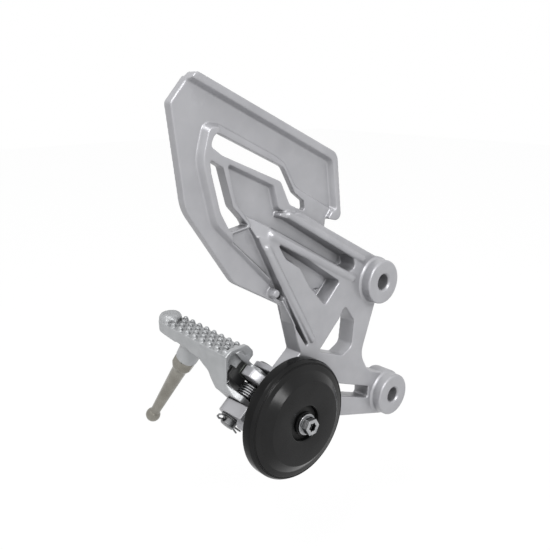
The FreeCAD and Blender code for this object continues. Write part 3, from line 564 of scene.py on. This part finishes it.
# %% Ejector marks
# (X, Z) in mm of each mark's middle, on floors that face the frame.
EJECTOR_MARKS = [(-139.1, 122.7), (-116.2, 79.1), (-67.0, 89.5), (-105.2, 44.8), (-52.4, 50.8)]
MARK_RADIUS = 4.2 * MM
MARK_BURR = 0.7 * MM
MARK_DEPTH = 0.03 * MM
FACING_FRAME = -0.95
FLOOR_LEVELS = (11.0 * MM, 16.0 * MM)


def press_marks(bm):
    """Sinks a disc at each mark and raises its rim, and counts the sunk points."""
    lowest, highest = FLOOR_LEVELS
    marked = 0
    for vert in bm.verts:
        if vert.normal.y > FACING_FRAME or not lowest < vert.co.y < highest:
            continue
        for x, z in EJECTOR_MARKS:
            reach = math.hypot(vert.co.x - x * MM, vert.co.z - z * MM)
            if reach < MARK_RADIUS:
                vert.co.y += MARK_DEPTH
                marked += 1
            elif reach < MARK_RADIUS + MARK_BURR:
                vert.co.y -= MARK_DEPTH
    return marked


# %% The bracket's skin
BRACKET_CELL_MM = 0.42
BRACKET_TRIANGLES = 190000
NOSE = Vector((-95.5, 8.0, 41.5))
skin = even_skin(with_beads(merged_copy("footrest_bracket")), BRACKET_CELL_MM)
bm = opened(skin)
print("cells on the bracket:", len(bm.faces))
soften(bm, [v for v in bm.verts if not near_a_bore(v.co)], passes=4)
soften(bm, [v for v in bm.verts if near_a_bore(v.co)], passes=1)
melt(bm, NOSE, reach_mm=8.0, passes=30)
bm.normal_update()
print("points in ejector marks:", press_marks(bm), "in the pin's bore:", open_pin_bore(bm))
skin = thinned(closed(bm, skin), BRACKET_TRIANGLES)
skin.shade_smooth()
bracket = add_piece("bracket_casting", skin, silver_paint, "hanger")
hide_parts("footrest_bracket")
print("bracket faces:", len(skin.polygons))

# %% [markdown]
# ## The folding peg
# The peg gets the same kind of skin, in smaller squares for the sake of its studs. The foot of
# the feeler's boss flows into the tread. The round pad at the tip has a cross-hatched relief, and
# the hollow wall round the spring carries a mark that its paint reads as a painted shade.

# %% A cross-hatched pad
HATCH_PITCH = 2.6 * MM
HATCH_HEIGHT = 0.45 * MM
HATCH_POWER = 6
PAD_REACH = 97.0 * MM
PAD_DEPTH = 2.2 * MM
FACING_UP = 0.75


def hatch_the_pad(bm):
    """Raises crossing ridges on the flat top of the pad at the peg's tip."""
    top = max(v.co.z for v in bm.verts if v.co.y > PAD_REACH)
    raised = 0
    for vert in bm.verts:
        off_the_pad = vert.co.y < PAD_REACH or vert.co.z < top - PAD_DEPTH
        if off_the_pad or vert.normal.z < FACING_UP:
            continue
        waves = [abs(math.cos(math.pi * (vert.co.x + side * vert.co.y) / HATCH_PITCH))
                 for side in (1, -1)]
        # The power makes the ridges narrow, and the 0.5 keeps the pad's level.
        vert.co.z += HATCH_HEIGHT * (max(waves) ** HATCH_POWER - 0.5)
        raised += 1
    return raised


# %% Painted shade in the peg's pocket
# The hollow wall round the spring lies on a cylinder about the hinge, and faces the pin.
POCKET_NEAR = 14.0 * MM
POCKET_FAR = 19.5 * MM
FACING_PIN = 0.3


def mark_pocket_shade(mesh):
    """Gives each point a mark from 0 to 1 for the painted shade that the peg's paint reads, and
    counts the marked.
    """
    mark = mesh.attributes.new("pocket_shade", "FLOAT", "POINT")
    marked = 0
    for vert in mesh.vertices:
        off = from_line(vert.co, HINGE, hinge_along)
        facing = -vert.normal.dot(off.normalized())
        on_the_wall = POCKET_NEAR < off.length < POCKET_FAR and vert.co.y > HINGE.y
        if on_the_wall and facing > FACING_PIN:
            mark.data[vert.index].value = min(1.0, (facing - FACING_PIN) / FACING_PIN)
            marked += 1
    return marked


# %% The peg's skin
PEG_CELL_MM = 0.35
PEG_TRIANGLES = 150000
FEELER_BOSS = Vector((-98.6, 82.3, -42.7))
skin = even_skin(merged_copy("footpeg"), PEG_CELL_MM)
bm = opened(skin)
print("cells on the peg:", len(bm.faces))
soften(bm, bm.verts, passes=3)
melt(bm, FEELER_BOSS, reach_mm=13.0, passes=50)
bm.normal_update()
print("points in the pin's bore:", open_pin_bore(bm), "in the hatching:", hatch_the_pad(bm))
skin = thinned(closed(bm, skin), PEG_TRIANGLES)
skin.shade_smooth()
# The marked points are those that get the painted shade in the pocket.
print("points with grease:", mark_pocket_shade(skin))
peg = add_piece("peg_casting", skin, peg_paint, "peg")
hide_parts("footpeg")
print("peg faces:", len(skin.polygons))

# %% [markdown]
# ## Machined parts with fine chamfers
# A pin, a bolt and a plate come from a lathe or a press, and only their edges are broken by one
# or two tenths of a millimetre. Here the merged copy is cleaned of needless flat triangles, and a
# small bevel on its sharp edges catches the light. The star recess in the bolt's head gets wider
# first.

# %% The star in the bolt's head
# The bolt goes through the middle of the round weight, and the recess is in its frame side.
DISC_MIDDLE = Vector((-80.4, 0, -73.4)) * MM
STAR_REACH = 3.3 * MM
STAR_LEVEL = -10.0 * MM
STAR_WIDER = 1.25


def widen_the_star(bm):
    """Makes the star recess in the bolt's head as wide as it looks on the real bolt."""
    for vert in bm.verts:
        out = from_line(vert.co, DISC_MIDDLE, OUTBOARD)
        if out.length < STAR_REACH and vert.co.y < STAR_LEVEL:
            vert.co += out * (STAR_WIDER - 1)


# %% Fine edges on machined parts
FLAT = math.radians(0.5)
SHARP = math.radians(30)
CRISP_SHADING = math.radians(35)


def bevel(bm, sharper_than, width_mm, segments):
    """Rounds the edges whose faces meet at more than an angle."""
    edges = [e for e in bm.edges if e.is_manifold and e.calc_face_angle() > sharper_than]
    bmesh.ops.bevel(bm, geom=edges, offset=width_mm * MM, affect="EDGES", segments=segments,
                    profile=0.5, material=-1, clamp_overlap=True)


def fine_edges(node, name, width_mm, material, body, change=None):
    """Shows a copy of the node with narrow bevels, after a change to its shape if one is given."""
    mesh = merged_copy(node)
    bm = opened(mesh)
    if change is not None:
        change(bm)
    bmesh.ops.dissolve_limit(bm, angle_limit=FLAT, verts=bm.verts, edges=bm.edges)
    bevel(bm, SHARP, width_mm, segments=2)
    closed(bm, mesh)
    mesh.shade_smooth()
    mesh.set_sharp_from_angle(angle=CRISP_SHADING)
    piece = add_piece(name, mesh, material, body)
    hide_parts(node)
    print(name, "faces:", len(mesh.polygons))


fine_edges("damper_bolt", "flange_bolt", 0.18, bolt_zinc, "hanger", widen_the_star)
fine_edges("hinge_pin", "pin_with_head", 0.15, worn_zinc, "hanger")
fine_edges("pin_washer", "washer_on_pin", 0.12, worn_zinc, "hanger")
fine_edges("stop_plate", "stop_sheet", 0.1, dark_zinc, "hanger")
fine_edges("feeler_pin", "feeler_rod", 0.25, dull_steel, "peg")
fine_edges("damper_bush_front", "rubber_face_ring", 0.25, black_rubber, "hanger")

# %% [markdown]
# ## The round weight
# The disc is turned steel with black paint: a thick rim, a fine groove inside it, a cone, and a
# flat face round the rubber eye. A profile spun round the axis is how a lathe makes it, so
# `bmesh.ops.spin` does it here too, and a bevel then rounds the rings of edges.

# %% The weight's profile, spun
DISC_STEPS = 128
DISC_EDGE = math.radians(12)
# (radius, place along Y) in mm, all round the cut face, the rubber's side first.
disc_profile = [
    (11.3, -3.0), (11.3, -7.7), (12.1, -8.5), (27.5, -8.5), (33.0, -4.0),
    (36.5, -3.4), (36.8, -2.6), (37.4, -2.6), (37.7, -3.1),
    (39.3, -0.7), (39.3, 5.5), (38.5, 6.3), (33.0, 6.3), (26.5, -3.0),
]
bm = bmesh.new()
ring = [bm.verts.new((r * MM, y * MM, 0)) for r, y in disc_profile]
edges = [bm.edges.new(pair) for pair in zip(ring, ring[1:] + ring[:1])]
bmesh.ops.spin(bm, geom=ring + edges, cent=(0, 0, 0), axis=(0, 1, 0), angle=math.tau,
               steps=DISC_STEPS, use_merge=True, use_duplicate=False)
bmesh.ops.recalc_face_normals(bm, faces=bm.faces)
bevel(bm, DISC_EDGE, width_mm=0.4, segments=3)
bmesh.ops.translate(bm, verts=bm.verts, vec=DISC_MIDDLE)
disc_mesh = closed(bm, bpy.data.meshes.new("weight_disc"))
disc_mesh.shade_smooth()
disc = add_piece("weight_disc", disc_mesh, black_paint, "hanger")
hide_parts("damper_disc")
print("disc faces:", len(disc_mesh.polygons))
